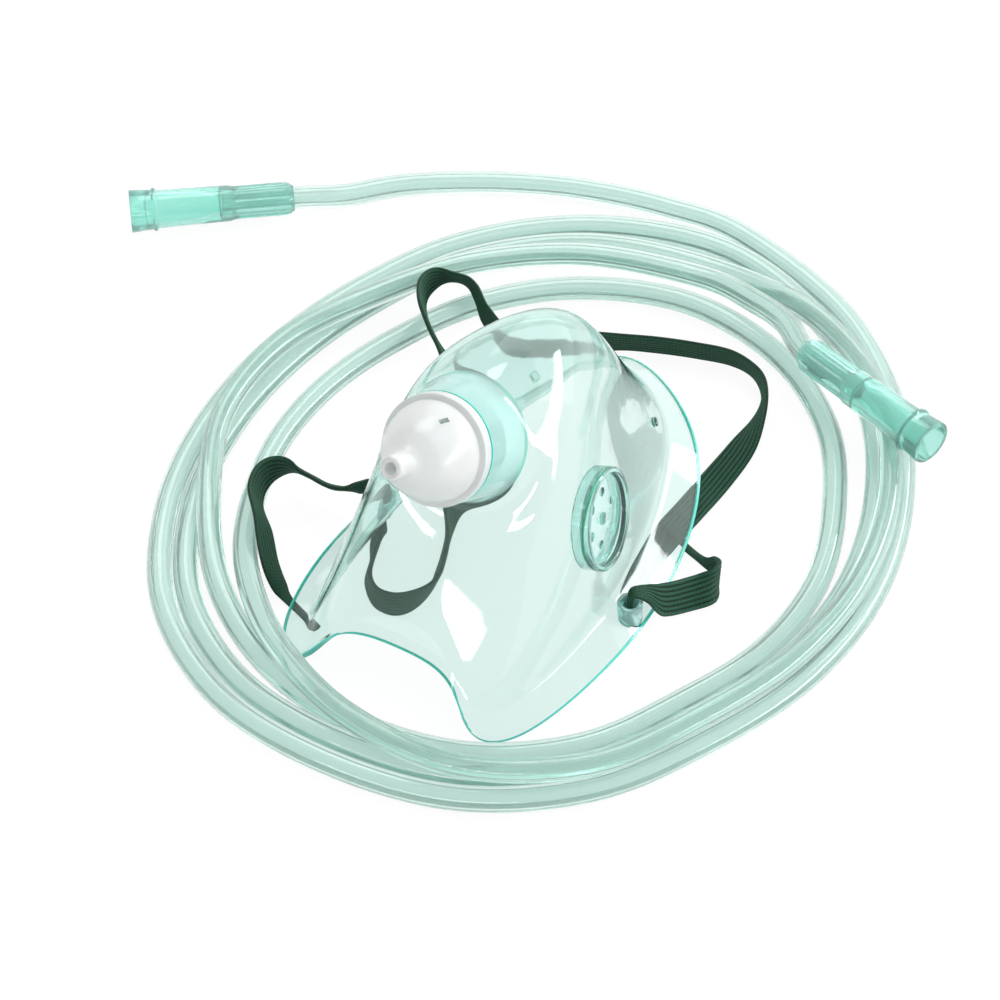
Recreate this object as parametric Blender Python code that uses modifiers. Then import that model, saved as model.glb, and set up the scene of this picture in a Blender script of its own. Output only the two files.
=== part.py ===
"""Oxygen face mask lying open side down, with inlet adapter, elastic strap and a coil of supply tube."""

import math

import bmesh
import bpy
from mathutils import Matrix, Vector
from mathutils.bvhtree import BVHTree

MM = 0.001

# Mask body, in metres
BODY_WIDTH = 0.076
BODY_LENGTH = 0.106
BODY_HEIGHT = 0.069
WALL = 0.0013
FLANGE_WIDTH = 0.0095
NOSE_ARCH = 0.027
CHIN_NOTCH = 0.013
FOLD_CREASE = 0.35
SHOULDER_CREASE = 0.45

# Neck that takes the adapter
NECK_DIAMETER = 0.0254
NECK_LENGTH = 0.016
NECK_TILT = math.radians(30)
NECK_FILLET = 0.0028
NECK_TAPER = 0.0013

# Vent roundels, one in each cheek
VENT_DIAMETER = 0.024
VENT_RIM = 0.0013
VENT_HEIGHT = 0.030
VENT_BACK = -0.007
VENT_HOLE = 0.0022
VENT_HOLES = 6
VENT_PLATE = 0.0012

# Strap eyelets and mould pips on the flange
EYELET_DIAMETER = 0.0060
EYELET_BORE = 0.0041
EYELET_RISE = 0.0040
EYELET_BACK = -0.010
PIP_DIAMETER = 0.0024
PIP_RISE = 0.0012

# Inlet adapter
CAP_RIM = 0.0030
CAP_WALL = 0.0012
CAP_DEPTH = 0.0165
SLEEVE_LENGTH = 0.009
NOZZLE_DIAMETER = 0.0046
NOZZLE_BORE = 0.0026
NOZZLE_LENGTH = 0.0065
SLOT_LENGTH = 0.0024
SLOT_WIDTH = 0.0012

# Elastic strap
STRAP_WIDTH = 0.008
STRAP_THICKNESS = 0.0010
STRAP_CLEARANCE = 0.0001

# Supply tube and its connectors
TUBE_DIAMETER = 0.006
TUBE_INSERTION = 0.019
CONNECTOR_LENGTH = 0.0425
CONNECTOR_MOUTH = 0.0103
CONNECTOR_GRIP = 0.0084
CONNECTOR_BORE = 0.0080
GRIP_FLUTES = 10

# Gap that pieces keep where they seat on each other
SEAT_GAP = 0.0003
FRAME_SHIFT = 0.0044


# Rings of the body's cage, from the flange's edge up to the shoulder under the neck. Each is half an
# outline, from the middle of the chin round the cheek to the middle of the nose, in millimetres on
# a body of the drawn size.
DRAWN_WIDTH = 0.076
DRAWN_LENGTH = 0.106
DRAWN_HEIGHT = 0.069
DRAWN_ARCH = 0.027
DRAWN_NOTCH = 0.013
FLANGE_EDGE = [
    (0, -51, 13), (16, -53, 14.5), (22.2, -60, 1.4), (33.2, -54.2, 1.4), (38.5, -30, 6.5),
    (38, 0, 0.5), (31.5, 29, 5), (18.5, 49, 10), (0, 49.5, 28),
]
FLANGE_FOLD = [
    (0, -49, 15.5), (14.5, -51, 17.5), (20.5, -56, 6), (28.5, -49, 6), (30.5, -27, 9),
    (29.5, -2, 8.5), (23, 22, 10), (12, 38, 19), (0, 42, 31),
]
FLANGE_SHARES = [0.33, 0.35, 0.6, 0.9, 0.9, 1.25, 1.1, 1.0, 0.7]
LOW_WALL = [
    (0, -47, 22), (11, -48.5, 21), (18.5, -50.5, 16), (26, -43, 17), (30.5, -25, 20),
    (29.5, -4, 22), (21, 17, 24), (11, 33, 31), (0, 38, 37),
]
HIGH_WALL = [
    (0, -41, 30), (9, -41.5, 29), (17, -41, 28), (23.5, -34, 32), (26.5, -21, 37),
    (25, -5, 40), (18, 12, 43.5), (9.5, 25, 49.5), (0, 30, 54),
]
SHOULDER = [
    (0, -35, 38), (8.5, -35, 38.5), (15.5, -33, 42), (19.5, -26, 49), (20, -17, 55),
    (17.5, -6, 60.5), (12.5, 4, 64.5), (7, 11.5, 68), (0, 14.5, 69),
]
NECK_FOOT = (0, -22, 58)

# The strap's route through both eyelets, chosen by hand: place in millimetres, then the direction of
# the ribbon's width, then its width as a share of the full width.
UPRIGHT = (0, 0, 1)
ACROSS = (1, 0, 0)
LEANING = (-0.37, 0.63, 0.68)
TIPPED = (0, -0.32, 0.95)
THIN = (0.3, -0.58, 0.76)
STRAP_ROUTE = [
    ((28, 20, 2.0), (0.3, 1, 0), 0.25),
    ((34, 18, 1.0), (0.3, 1, 0), 0.25),
    ((40, 15.5, 1.8), (0.3, 0.9, 0.4), 0.28),
    ((43.5, 14.3, 3.2), (0.1, 0.3, 1), 0.6),
    ((46, 11.5, 4.1), (0, 0.1, 1), 1),
    ((46, 7, 4.0), LEANING, 1),
    ((43, 3, 3.8), LEANING, 1),
    ((39.5, -3, 5.8), LEANING, 1),
    ((37.2, -7, 10.4), (-0.5, 0.8, 0.3), 0.6),
    ((34.8, -9.6, 11.9), (-0.6, 0.8, 0), 0.42),
    ((34.2, -10, 8.5), (-0.6, 0.8, 0), 0.4),
    ((34.2, -10, 3.0), (-0.1, 1, 0), 0.38),
    ((34.0, -9.8, 1.0), (0.5, 0.85, 0), 0.38),
    ((31.5, -6.5, 0.6), (0.8, 0.6, 0), 0.6),
    ((28, 6, 0.7), ACROSS, 1),
    ((28, 17, 0.7), ACROSS, 1),
    ((29, 28, 0.7), ACROSS, 1),
    ((30, 41, 0.7), ACROSS, 1),
    ((30.5, 53, 1.2), (0.95, 0, 0.25), 1),
    ((30, 63, 3.2), (0.5, 0, 0.85), 1),
    ((27.5, 71, 4.1), UPRIGHT, 1),
    ((22, 76, 4.1), TIPPED, 1),
    ((15, 77.4, 4.1), TIPPED, 1),
    ((6, 75.3, 4.1), TIPPED, 1),
    ((-3, 72.3, 4.1), TIPPED, 1),
    ((-12, 68.4, 4.1), TIPPED, 1),
    ((-20, 63.5, 4.1), UPRIGHT, 1),
    ((-28, 58.5, 4.1), UPRIGHT, 1),
    ((-37, 55.5, 4.5), UPRIGHT, 1),
    ((-44, 57.5, 6.8), UPRIGHT, 1),
    ((-49, 60.8, 9.9), UPRIGHT, 1),
    ((-53.5, 62.5, 10.6), UPRIGHT, 1),
    ((-58, 61.5, 10.7), UPRIGHT, 1),
    ((-60.5, 58, 10.8), (-0.2, 0.1, 0.97), 1),
    ((-60.3, 53.5, 10.8), (-0.2, 0, 0.97), 1),
    ((-57, 48.2, 10.7), (-0.2, -0.1, 0.97), 1),
    ((-52, 44.2, 8.2), (-0.2, -0.2, 0.95), 1),
    ((-46, 41, 5.0), (-0.3, -0.4, 0.85), 1),
    ((-39.5, 37, 1.9), (-0.6, -0.7, 0.3), 1),
    ((-33, 32, 0.8), (-0.6, -0.8, 0), 1),
    ((-27, 23, 0.8), (-0.8, -0.5, 0.1), 1),
    ((-22.5, 11, 2.4), (-0.8, -0.4, 0.5), 1),
    ((-18.5, -2, 4.0), (-0.3, -0.15, 0.94), 1),
    ((-13.5, -13, 4.1), (-0.2, -0.1, 0.97), 1),
    ((-10, -25, 4.1), UPRIGHT, 1),
    ((-13, -33, 4.1), UPRIGHT, 1),
    ((-19, -34.5, 4.1), UPRIGHT, 1),
    ((-24.5, -30, 4.1), UPRIGHT, 1),
    ((-28, -21.5, 4.0), (0.1, 0, 0.98), 0.95),
    ((-33.0, -12.6, 0.7), (0.5, 0.8, 0), 0.5),
    ((-34.2, -10.6, 1.2), (0.5, 0.8, 0), 0.4),
    ((-34.2, -10, 3.4), (0.5, 0.8, 0), 0.4),
    ((-34.2, -10, 8.5), (0.5, 0.8, 0), 0.4),
    ((-35.2, -10.6, 11.6), (0.3, 0.9, 0.2), 0.45),
    ((-37.3, -11.8, 11.2), (0.1, 0.3, 0.95), 0.45),
    ((-40.5, -12.8, 9.8), THIN, 0.65),
    ((-46, -13.2, 8.4), THIN, 1),
    ((-52, -12.6, 8.2), THIN, 1),
    ((-56.5, -13.3, 9.2), (-0.1, -0.5, 0.85), 1),
    ((-59.3, -16.5, 10.2), (-0.2, -0.3, 0.92), 1),
    ((-60, -21, 10.6), (-0.3, -0.1, 0.94), 1),
    ((-58, -26.5, 10.3), (-0.35, -0.1, 0.92), 1),
    ((-52.4, -32.1, 9.1), (-0.4, -0.2, 0.88), 1),
    ((-47, -38, 5.6), (-0.4, -0.3, 0.85), 1),
    ((-42.5, -41.5, 3.0), (-0.4, -0.6, 0.6), 0.7),
    ((-38, -43.5, 1.0), (-0.2, -1, 0), 0.28),
    ((-28, -47, 0.8), (-0.3, -1, 0), 0.25),
]

# The supply tube: its free tail from the supply connector, the coil's radius and height about its
# middle at every 30 degrees, clockwise from the far side, and the lead into the patient connector.
SUPPLY_MOUTH = (-145, 45.4, 6.0)
SUPPLY_GRIP = (-111.3, 72.4, 5.0)
TUBE_TAIL = [
    (-101.5, 81.5, 3.2), (-91, 92, 3.1), (-78, 101, 3.1),
    (-62, 109.5, 3.1), (-46, 115.5, 3.1), (-26, 119.6, 3.1),
]
COIL_MIDDLE = (-4, 9)
COIL_STEP = 30
LOW = 3.1
HIGH = 9.2
COIL_STATIONS = [
    (111.0, LOW), (99.7, LOW), (89.3, LOW), (84.0, LOW), (82.4, LOW), (88.8, LOW),
    (89.9, LOW), (91.5, LOW), (86.2, LOW), (83.0, LOW), (87.0, LOW), (98.3, LOW),
    (103.6, LOW), (93.2, LOW), (83.0, LOW), (77.8, LOW), (76.2, LOW), (82.6, LOW),
    (83.7, LOW), (85.3, LOW), (80.0, LOW), (76.8, LOW), (80.8, LOW), (92.0, LOW),
    (96.0, LOW), (93.0, HIGH), (86.2, 8.7), (80.9, 8.5), (79.3, 8.5), (85.7, 8.7),
    (80.5, HIGH), (72.0, 8.2), (66.2, LOW), (64.2, LOW), (66.2, LOW), (74.6, LOW),
    (81.6, LOW), (79.8, LOW), (73.3, LOW), (71.6, LOW), (70.0, LOW), (76.4, LOW),
    (77.4, LOW), (77.2, LOW), (76.0, 7.6), (79.5, HIGH), (77.5, HIGH), (84.5, 7.0),
    (88.5, 6.5),
]
TUBE_STEP = 20
TUBE_LEAD = [(14, 92.5, 10.2), (25.5, 85.5, 14.4)]
PATIENT_GRIP = (35.5, 76.5, 16.8)
PATIENT_MOUTH = (74.3, 63.0, 18.0)

# Facets round a turned piece
TURNED_STEPS = 32


def clear_scene():
    for item in list(bpy.data.objects):
        bpy.data.objects.remove(item, do_unlink=True)


def new_collection(name):
    collection = bpy.data.collections.new(name)
    bpy.context.scene.collection.children.link(collection)
    return collection


def make_material(name, colour, roughness, transmission=0.0):
    """A Principled material of one colour."""
    material = bpy.data.materials.new(name)
    material.use_nodes = True
    shader = material.node_tree.nodes["Principled BSDF"]
    shader.inputs["Base Color"].default_value = (*colour, 1)
    shader.inputs["Roughness"].default_value = roughness
    shader.inputs["Metallic"].default_value = 0
    shader.inputs["Transmission Weight"].default_value = transmission
    material.diffuse_color = (*colour, 1)
    return material


def add_object(name, mesh, collection, material=None):
    item = bpy.data.objects.new(name, mesh)
    collection.objects.link(item)
    if material:
        mesh.materials.append(material)
    return item


def add_cutter(name, mesh):
    """A helper shape that a Boolean reads and no render shows."""
    item = add_object(name, mesh, cutters)
    item.hide_render = True
    item.display_type = "WIRE"
    return item


def mesh_from(name, make):
    """A mesh filled by make(bm)."""
    mesh = bpy.data.meshes.new(name)
    bm = bmesh.new()
    make(bm)
    bm.normal_update()
    bm.to_mesh(mesh)
    bm.free()
    return mesh


def cylinder_mesh(name, radius, depth, segments=TURNED_STEPS):
    def make(bm):
        bmesh.ops.create_cone(
            bm, cap_ends=True, segments=segments, radius1=radius, radius2=radius, depth=depth
        )

    return mesh_from(name, make)


def box_mesh(name, size):
    def make(bm):
        bmesh.ops.create_cube(bm, size=1)
        bmesh.ops.scale(bm, vec=size, verts=bm.verts)

    return mesh_from(name, make)


def turned_mesh(name, profile, closed):
    """The outline that a Screw modifier turns: radius and height pairs, down the outer side."""

    def make(bm):
        corners = [bm.verts.new((radius, 0, height)) for radius, height in profile]
        for first, second in zip(corners, corners[1:]):
            bm.edges.new((first, second))
        if closed:
            bm.edges.new((corners[-1], corners[0]))

    return mesh_from(name, make)


def turn(item, steps=TURNED_STEPS):
    screw = item.modifiers.new("Turn", "SCREW")
    screw.angle = math.tau
    screw.steps = steps
    screw.render_steps = steps
    screw.use_merge_vertices = True
    screw.merge_threshold = 0.00001
    screw.use_normal_calculate = False


def boolean(item, cutter, operation):
    modifier = item.modifiers.new(cutter.name, "BOOLEAN")
    modifier.operation = operation
    modifier.solver = "EXACT"
    modifier.object = cutter


def aim(item, place, direction):
    """Stands the object's own +Z along a direction, with its origin at a place."""
    item.matrix_world = Matrix.Translation(place) @ direction.to_track_quat("Z", "Y").to_matrix().to_4x4()


def surface_of(item):
    """A tree for ray casts on the object as its modifiers leave it, in world space."""
    bpy.context.view_layer.update()
    graph = bpy.context.evaluated_depsgraph_get()
    mesh = item.evaluated_get(graph).to_mesh()
    points = [item.matrix_world @ vertex.co for vertex in mesh.vertices]
    faces = [tuple(face.vertices) for face in mesh.polygons]
    item.evaluated_get(graph).to_mesh_clear()
    return BVHTree.FromPolygons(points, faces), min(point.z for point in points)


def stretched(point):
    """A point drawn in millimetres, on a body of the driving sizes."""
    x, y, z = point
    return Vector((
        x * MM * BODY_WIDTH / DRAWN_WIDTH,
        y * MM * BODY_LENGTH / DRAWN_LENGTH,
        z * MM * BODY_HEIGHT / DRAWN_HEIGHT,
    ))


def neck_axis():
    return Vector((0, -math.cos(NECK_TILT), math.sin(NECK_TILT)))


def neck_end(lift):
    return stretched(NECK_FOOT) + neck_axis() * NECK_LENGTH + Vector((0, 0, lift))


def neck_ring(radius, along):
    """Half a ring about the neck, from its chin side round to its nose side."""
    towards_chin = Vector((0, -math.sin(NECK_TILT), -math.cos(NECK_TILT)))
    middle = stretched(NECK_FOOT) + neck_axis() * along
    half_columns = len(FLANGE_EDGE) - 1
    ring = []
    for column in range(half_columns + 1):
        angle = math.pi * column / half_columns
        ring.append(middle + radius * (math.sin(angle) * Vector((1, 0, 0)) + math.cos(angle) * towards_chin))
    return ring


def flange_rings():
    """The flange's edge and the fold where it meets the wall."""
    edge = []
    fold = []
    last = len(FLANGE_EDGE) - 1
    for column, (low, high, share) in enumerate(zip(FLANGE_EDGE, FLANGE_FOLD, FLANGE_SHARES)):
        outer = stretched(low)
        inner = stretched(high)
        arch = 1 if column == last else 0.3 if column == last - 1 else 0
        notch = 1 if column == 0 else 0.8 if column == 1 else 0
        rise = arch * (NOSE_ARCH - DRAWN_ARCH) + notch * (CHIN_NOTCH - DRAWN_NOTCH)
        outer.z += rise
        inner.z += rise
        edge.append(outer)
        fold.append(outer + (inner - outer).normalized() * FLANGE_WIDTH * share)
    return edge, fold


def make_body():
    """The moulded shell: a coarse half cage, mirrored, subdivided and given its wall."""
    edge, fold = flange_rings()
    # The cage's ring of 16 columns shrinks by this share when it is subdivided.
    shrink = (4 + 2 * math.cos(math.pi / (len(FLANGE_EDGE) - 1))) / 6
    radius = NECK_DIAMETER / 2 / shrink
    rings = [edge, fold]
    rings += [[stretched(point) for point in ring] for ring in (LOW_WALL, HIGH_WALL, SHOULDER)]
    rings += [
        neck_ring(radius + NECK_FILLET + NECK_TAPER, 0),
        neck_ring(radius + NECK_TAPER, NECK_FILLET),
        neck_ring(radius + NECK_TAPER * 0.6, NECK_LENGTH * 0.6),
        neck_ring(radius, NECK_LENGTH),
    ]

    def make(bm):
        grid = [[bm.verts.new(point) for point in ring] for ring in rings]
        for lower, upper in zip(grid, grid[1:]):
            for column in range(len(lower) - 1):
                bm.faces.new((lower[column], lower[column + 1], upper[column + 1], upper[column]))
        crease = bm.edges.layers.float.new("crease_edge")
        for ring, strength in ((grid[1], FOLD_CREASE), (grid[4], SHOULDER_CREASE)):
            for first, second in zip(ring, ring[1:]):
                bm.edges.get((first, second))[crease] = strength

    body = add_object("mask_body", mesh_from("mask_body", make), parts, clear_pvc)
    mirror = body.modifiers.new("Other cheek", "MIRROR")
    mirror.use_axis[0] = True
    mirror.merge_threshold = 0.00001
    smooth = body.modifiers.new("Soft form", "SUBSURF")
    smooth.levels = 2
    smooth.render_levels = 2
    wall = body.modifiers.new("Wall", "SOLIDIFY")
    wall.thickness = WALL
    wall.offset = -1
    return body


def add_vents(body, surface):
    """A roundel in each cheek: a rim, a sunk plate with a ring of holes and a stud in its middle."""
    radius = VENT_DIAMETER / 2
    inner = radius - VENT_RIM
    plate_top = -0.0018
    plate_base = plate_top - VENT_PLATE
    rim_top = 0.0002
    rim_base = -0.0048
    stud = 0.0014
    profile = [
        (0, plate_top + 0.0010), (stud, plate_top + 0.0010), (stud, plate_top), (inner, plate_top),
        (inner, rim_top), (radius - 0.0003, rim_top), (radius, rim_top - 0.0005), (radius, rim_base),
        (inner, rim_base), (inner, plate_base), (0, plate_base),
    ]
    hit, normal, _, _ = surface.ray_cast(Vector((1, VENT_BACK, VENT_HEIGHT)), Vector((-1, 0, 0)))
    for side, x in (("right", 1), ("left", -1)):
        place = Vector((hit.x * x, hit.y, hit.z))
        outward = Vector((normal.x * x, normal.y, normal.z))
        roundel = add_cutter("vent_roundel_" + side, turned_mesh("vent_roundel", profile, closed=False))
        turn(roundel)
        aim(roundel, place, outward)
        bpy.context.view_layer.update()
        for number in range(VENT_HOLES):
            angle = math.tau * number / VENT_HOLES
            reach = inner * 0.58
            across = Vector((reach * math.cos(angle), reach * math.sin(angle), plate_top))
            name = "vent_hole_%s_%d" % (side, number + 1)
            hole = add_cutter(name, cylinder_mesh("vent_hole", VENT_HOLE / 2, VENT_PLATE * 4, 12))
            aim(hole, roundel.matrix_world @ across, outward)
            boolean(roundel, hole, "DIFFERENCE")
        window = add_cutter("vent_window_" + side, cylinder_mesh("vent_window", radius - VENT_RIM / 2, 0.018))
        aim(window, place, outward)
        boolean(body, window, "DIFFERENCE")
        boolean(body, roundel, "UNION")


def add_eyelets(body, surface):
    """An upright eyelet for the strap on each side, bored through the flange."""
    outer = EYELET_DIAMETER / 2
    inner = EYELET_BORE / 2
    hit, _, _, _ = surface.ray_cast(Vector((EYELET_OUT, EYELET_BACK, 1)), Vector((0, 0, -1)))
    base = -WALL * 1.6
    profile = [(inner, EYELET_RISE), (outer, EYELET_RISE), (outer, base), (inner, base)]
    for side, sign in (("right", 1), ("left", -1)):
        place = Vector((sign * EYELET_OUT, EYELET_BACK, hit.z))
        upright = Vector((0, 0, 1))
        bore = add_cutter("eyelet_bore_" + side, cylinder_mesh("eyelet_bore", (outer + inner) / 2, 0.012, 20))
        aim(bore, place, upright)
        boolean(body, bore, "DIFFERENCE")
        tower = add_cutter("eyelet_" + side, turned_mesh("eyelet", profile, closed=True))
        turn(tower, 20)
        aim(tower, place, upright)
        boolean(body, tower, "UNION")


def add_pips(body, surface):
    """A small mould pip on the flange beside the nose."""
    spot = stretched(PIP_SPOT)
    hit, normal, _, _ = surface.ray_cast(Vector((spot.x, spot.y, 1)), Vector((0, 0, -1)))
    for side, sign in (("right", 1), ("left", -1)):
        place = Vector((hit.x * sign, hit.y, hit.z))
        outward = Vector((normal.x * sign, normal.y, normal.z))
        pip = add_cutter("pip_" + side, cylinder_mesh("pip", PIP_DIAMETER / 2, PIP_RISE * 2, 8))
        aim(pip, place, outward)
        boolean(body, pip, "UNION")


def make_adapter(lift):
    """The cap on the neck: sleeve, rim, hollow dome and nozzle, turned about the neck's axis."""
    rim = NECK_DIAMETER / 2
    sleeve = rim - WALL - SEAT_GAP
    bore = sleeve - CAP_WALL
    step = rim - 0.0014
    tip = CAP_DEPTH + NOZZLE_LENGTH
    nozzle = NOZZLE_DIAMETER / 2
    inlet = NOZZLE_BORE / 2
    profile = [
        (inlet, tip), (nozzle - 0.0002, tip), (nozzle, tip - 0.0004), (nozzle, CAP_DEPTH + 0.0010),
        (nozzle + 0.0014, CAP_DEPTH - 0.0006), (step * 0.57, CAP_DEPTH * 0.86),
        (step * 0.78, CAP_DEPTH * 0.64), (step * 0.93, CAP_DEPTH * 0.40),
        (step, CAP_RIM + 0.0016), (step, CAP_RIM + 0.0003),
        (rim - 0.0003, CAP_RIM), (rim, CAP_RIM - 0.0003), (rim, 0), (sleeve, 0),
        (sleeve, -SLEEVE_LENGTH + 0.0006), (sleeve - 0.0004, -SLEEVE_LENGTH), (bore, -SLEEVE_LENGTH),
        (bore, CAP_RIM + 0.0006), (step * 0.93 - CAP_WALL * 1.2, CAP_DEPTH * 0.36),
        (step * 0.78 - CAP_WALL, CAP_DEPTH * 0.58), (step * 0.57 - CAP_WALL * 0.8, CAP_DEPTH * 0.78),
        (inlet + 0.0006, CAP_DEPTH * 0.86), (inlet, CAP_DEPTH * 0.92),
    ]
    shape = turned_mesh("inlet_adapter", profile, closed=True)
    adapter = add_object("inlet_adapter", shape, parts, white_pvc)
    turn(adapter)
    place = neck_end(lift) + neck_axis() * SEAT_GAP
    aim(adapter, place, neck_axis())
    upward = Vector((0, math.sin(NECK_TILT), math.cos(NECK_TILT)))
    slot = add_cutter("cap_slot", box_mesh("cap_slot", (SLOT_LENGTH, SLOT_WIDTH, CAP_WALL * 5)))
    outward = (upward * 0.8 + neck_axis() * 0.6).normalized()
    aim(slot, place + upward * step * 0.84 + neck_axis() * CAP_DEPTH * 0.5, outward)
    boolean(adapter, slot, "DIFFERENCE")
    return adapter


def smooth_between(a, b, c, d, t):
    """A value on the smooth curve through b and c, whose neighbours are a and d."""
    square = (2 * a - 5 * b + 4 * c - d) * t * t
    cube = (3 * b - a - 3 * c + d) * t ** 3
    return 0.5 * (2 * b + (c - a) * t + square + cube)


def curve_through(points, spacing):
    """Places along one smooth curve through rows of numbers, about one spacing apart."""
    rows = [points[0]] + list(points) + [points[-1]]
    found = []
    for before, start, end, after in zip(rows, rows[1:], rows[2:], rows[3:]):
        pieces = max(1, round(math.dist(start[:3], end[:3]) / spacing))
        for piece in range(pieces):
            t = piece / pieces
            found.append(tuple(
                smooth_between(a, b, c, d, t) for a, b, c, d in zip(before, start, end, after)
            ))
    return found + [tuple(points[-1])]


def strap_rows():
    """The strap's route in metres, tied to the eyelets and the body as they are sized."""
    rows = []
    for place, across, share in STRAP_ROUTE:
        x, y, z = place
        flat = stretched((x, y, 0))
        rows.append((flat.x, flat.y, z * MM, *Vector(across).normalized(), share * STRAP_WIDTH))
    return rows


def make_strap():
    """A flat ribbon lofted along its route, narrow at both sealed ends and in the eyelets."""
    rows = curve_through(strap_rows(), STRAP_WIDTH * 0.5)
    places = [Vector(row[:3]) for row in rows]

    def make(bm):
        sections = []
        for index, row in enumerate(rows):
            ahead = places[min(index + 1, len(places) - 1)] - places[max(index - 1, 0)]
            across = Vector(row[3:6])
            across = (across - ahead * across.dot(ahead) / ahead.length_squared).normalized()
            face = ahead.normalized().cross(across)
            half_width = across * row[6] / 2
            half_depth = face * STRAP_THICKNESS / 2
            corners = (
                half_width + half_depth, half_depth - half_width,
                -half_width - half_depth, half_width - half_depth,
            )
            lowest = min((places[index] + corner).z for corner in corners)
            lift = Vector((0, 0, max(0, STRAP_CLEARANCE - lowest)))
            sections.append([bm.verts.new(places[index] + corner + lift) for corner in corners])
        for first, second in zip(sections, sections[1:]):
            for corner in range(4):
                following = (corner + 1) % 4
                bm.faces.new((first[corner], second[corner], second[following], first[following]))
        bm.faces.new(sections[0])
        bm.faces.new(reversed(sections[-1]))
        bmesh.ops.recalc_face_normals(bm, faces=bm.faces)

    return add_object("elastic_strap", mesh_from("elastic_strap", make), parts, green_elastic)


def coil_station(step):
    """The coil's radius and height after so many degrees of winding, between the drawn stations."""
    last = len(COIL_STATIONS) - 1
    at = min(step / COIL_STEP, last)
    first = min(int(at), last - 1)
    around = [COIL_STATIONS[min(max(first + shift, 0), last)] for shift in (-1, 0, 1, 2)]
    t = at - first
    radius = smooth_between(*[station[0] for station in around], t)
    return radius, max(LOW, smooth_between(*[station[1] for station in around], t))


def coil_points():
    """The coil's turns, each lying on the surface or over the turns laid before it."""
    points = []
    count = int((len(COIL_STATIONS) - 1) * COIL_STEP / TUBE_STEP) + 1
    for number in range(count):
        radius, height = coil_station(number * TUBE_STEP)
        angle = math.radians(90 - number * TUBE_STEP)
        x = COIL_MIDDLE[0] + radius * math.cos(angle)
        y = COIL_MIDDLE[1] + radius * math.sin(angle)
        points.append((x, y, height))
    return points


def inserted(mouth, grip):
    """Where the tube's end sits inside a connector, and the connector's direction."""
    mouth = Vector(mouth) * MM
    grip = Vector(grip) * MM
    inward = (mouth - grip).normalized()
    return grip + inward * TUBE_INSERTION, grip, inward


def make_tube():
    """The supply tube in one length, from inside one connector to inside the other."""
    supply_stop, supply_grip, _ = inserted(SUPPLY_MOUTH, SUPPLY_GRIP)
    patient_stop, patient_grip, _ = inserted(PATIENT_MOUTH, PATIENT_GRIP)
    tail = [tuple(supply_stop), tuple(supply_grip)]
    tail += [tuple(Vector(point) * MM) for point in TUBE_TAIL]
    coil = [tuple(Vector(point) * MM) for point in coil_points()]
    lead = [tuple(Vector(point) * MM) for point in TUBE_LEAD]
    lead += [tuple(patient_grip), tuple(patient_stop)]
    points = tail + coil + lead
    curve = bpy.data.curves.new("oxygen_tube", "CURVE")
    curve.dimensions = "3D"
    curve.bevel_depth = TUBE_DIAMETER / 2
    curve.bevel_resolution = 2
    curve.use_fill_caps = True
    spline = curve.splines.new("POLY")
    spline.points.add(len(points) - 1)
    for target, point in zip(spline.points, points):
        target.co = (*point, 1)
    tube = bpy.data.objects.new("oxygen_tube", curve)
    curve.materials.append(tube_pvc)
    parts.objects.link(tube)
    length = sum(math.dist(a, b) for a, b in zip(points, points[1:]))
    print("tube length %.3f m with %d points" % (length, len(points)))
    return tube


def make_connector(name, mouth, grip):
    """A funnel connector: fluted grip over the tube, shoulder, funnel, bead and open mouth."""
    outer = CONNECTOR_MOUTH / 2
    hold = CONNECTOR_GRIP / 2
    socket = TUBE_DIAMETER / 2 + SEAT_GAP
    bore = CONNECTOR_BORE / 2
    waist = TUBE_DIAMETER / 2 - 0.0008
    length = CONNECTOR_LENGTH
    bead = length - 0.0064
    shoulder = length - 0.0260
    stop = TUBE_INSERTION + SEAT_GAP
    profile = [
        (bore, length), (outer - 0.0002, length), (outer, length - 0.0004), (outer - 0.0002, bead + 0.0008),
        (outer + 0.0006, bead + 0.0003), (outer + 0.0006, bead - 0.0004), (outer - 0.0004, bead - 0.0010),
        (hold + 0.0004, shoulder), (hold, shoulder - 0.0006), (hold - 0.0002, 0.0018),
        (hold - 0.0008, 0.0004), (socket + 0.0003, 0), (socket, 0.0003), (socket, stop),
        (waist, stop + 0.0004), (waist, stop + 0.0022), (bore - 0.0008, stop + 0.0050),
    ]
    place = Vector(grip) * MM
    direction = (Vector(mouth) * MM - place).normalized()
    connector = add_object(name, turned_mesh(name, profile, closed=True), parts, connector_pvc)
    turn(connector, 24)
    aim(connector, place, direction)
    bpy.context.view_layer.update()
    flute_length = shoulder - 0.0030
    for number in range(GRIP_FLUTES):
        angle = math.tau * (number + 0.5) / GRIP_FLUTES
        reach = hold + 0.0004
        middle = Vector((reach * math.cos(angle), reach * math.sin(angle), 0.0014 + flute_length / 2))
        shape = cylinder_mesh("flute", 0.0007, flute_length, 6)
        flute = add_cutter("%s_flute_%d" % (name, number + 1), shape)
        aim(flute, connector.matrix_world @ middle, direction)
        boolean(connector, flute, "DIFFERENCE")
    return connector


EYELET_OUT = stretched((34.2, 0, 0)).x
PIP_SPOT = (16.5, 33, 0)

clear_scene()
parts = new_collection("oxygen_face_mask")
cutters = new_collection("cutters")
clear_pvc = make_material("clear_soft_pvc", (0.60, 0.83, 0.77), 0.12, 0.6)
white_pvc = make_material("translucent_white_pvc", (0.90, 0.95, 0.94), 0.25, 0.3)
green_elastic = make_material("green_woven_elastic", (0.01, 0.08, 0.05), 0.85)
tube_pvc = make_material("clear_tube_pvc", (0.62, 0.85, 0.78), 0.10, 0.6)
connector_pvc = make_material("green_connector_pvc", (0.30, 0.80, 0.68), 0.12, 0.5)

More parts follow.
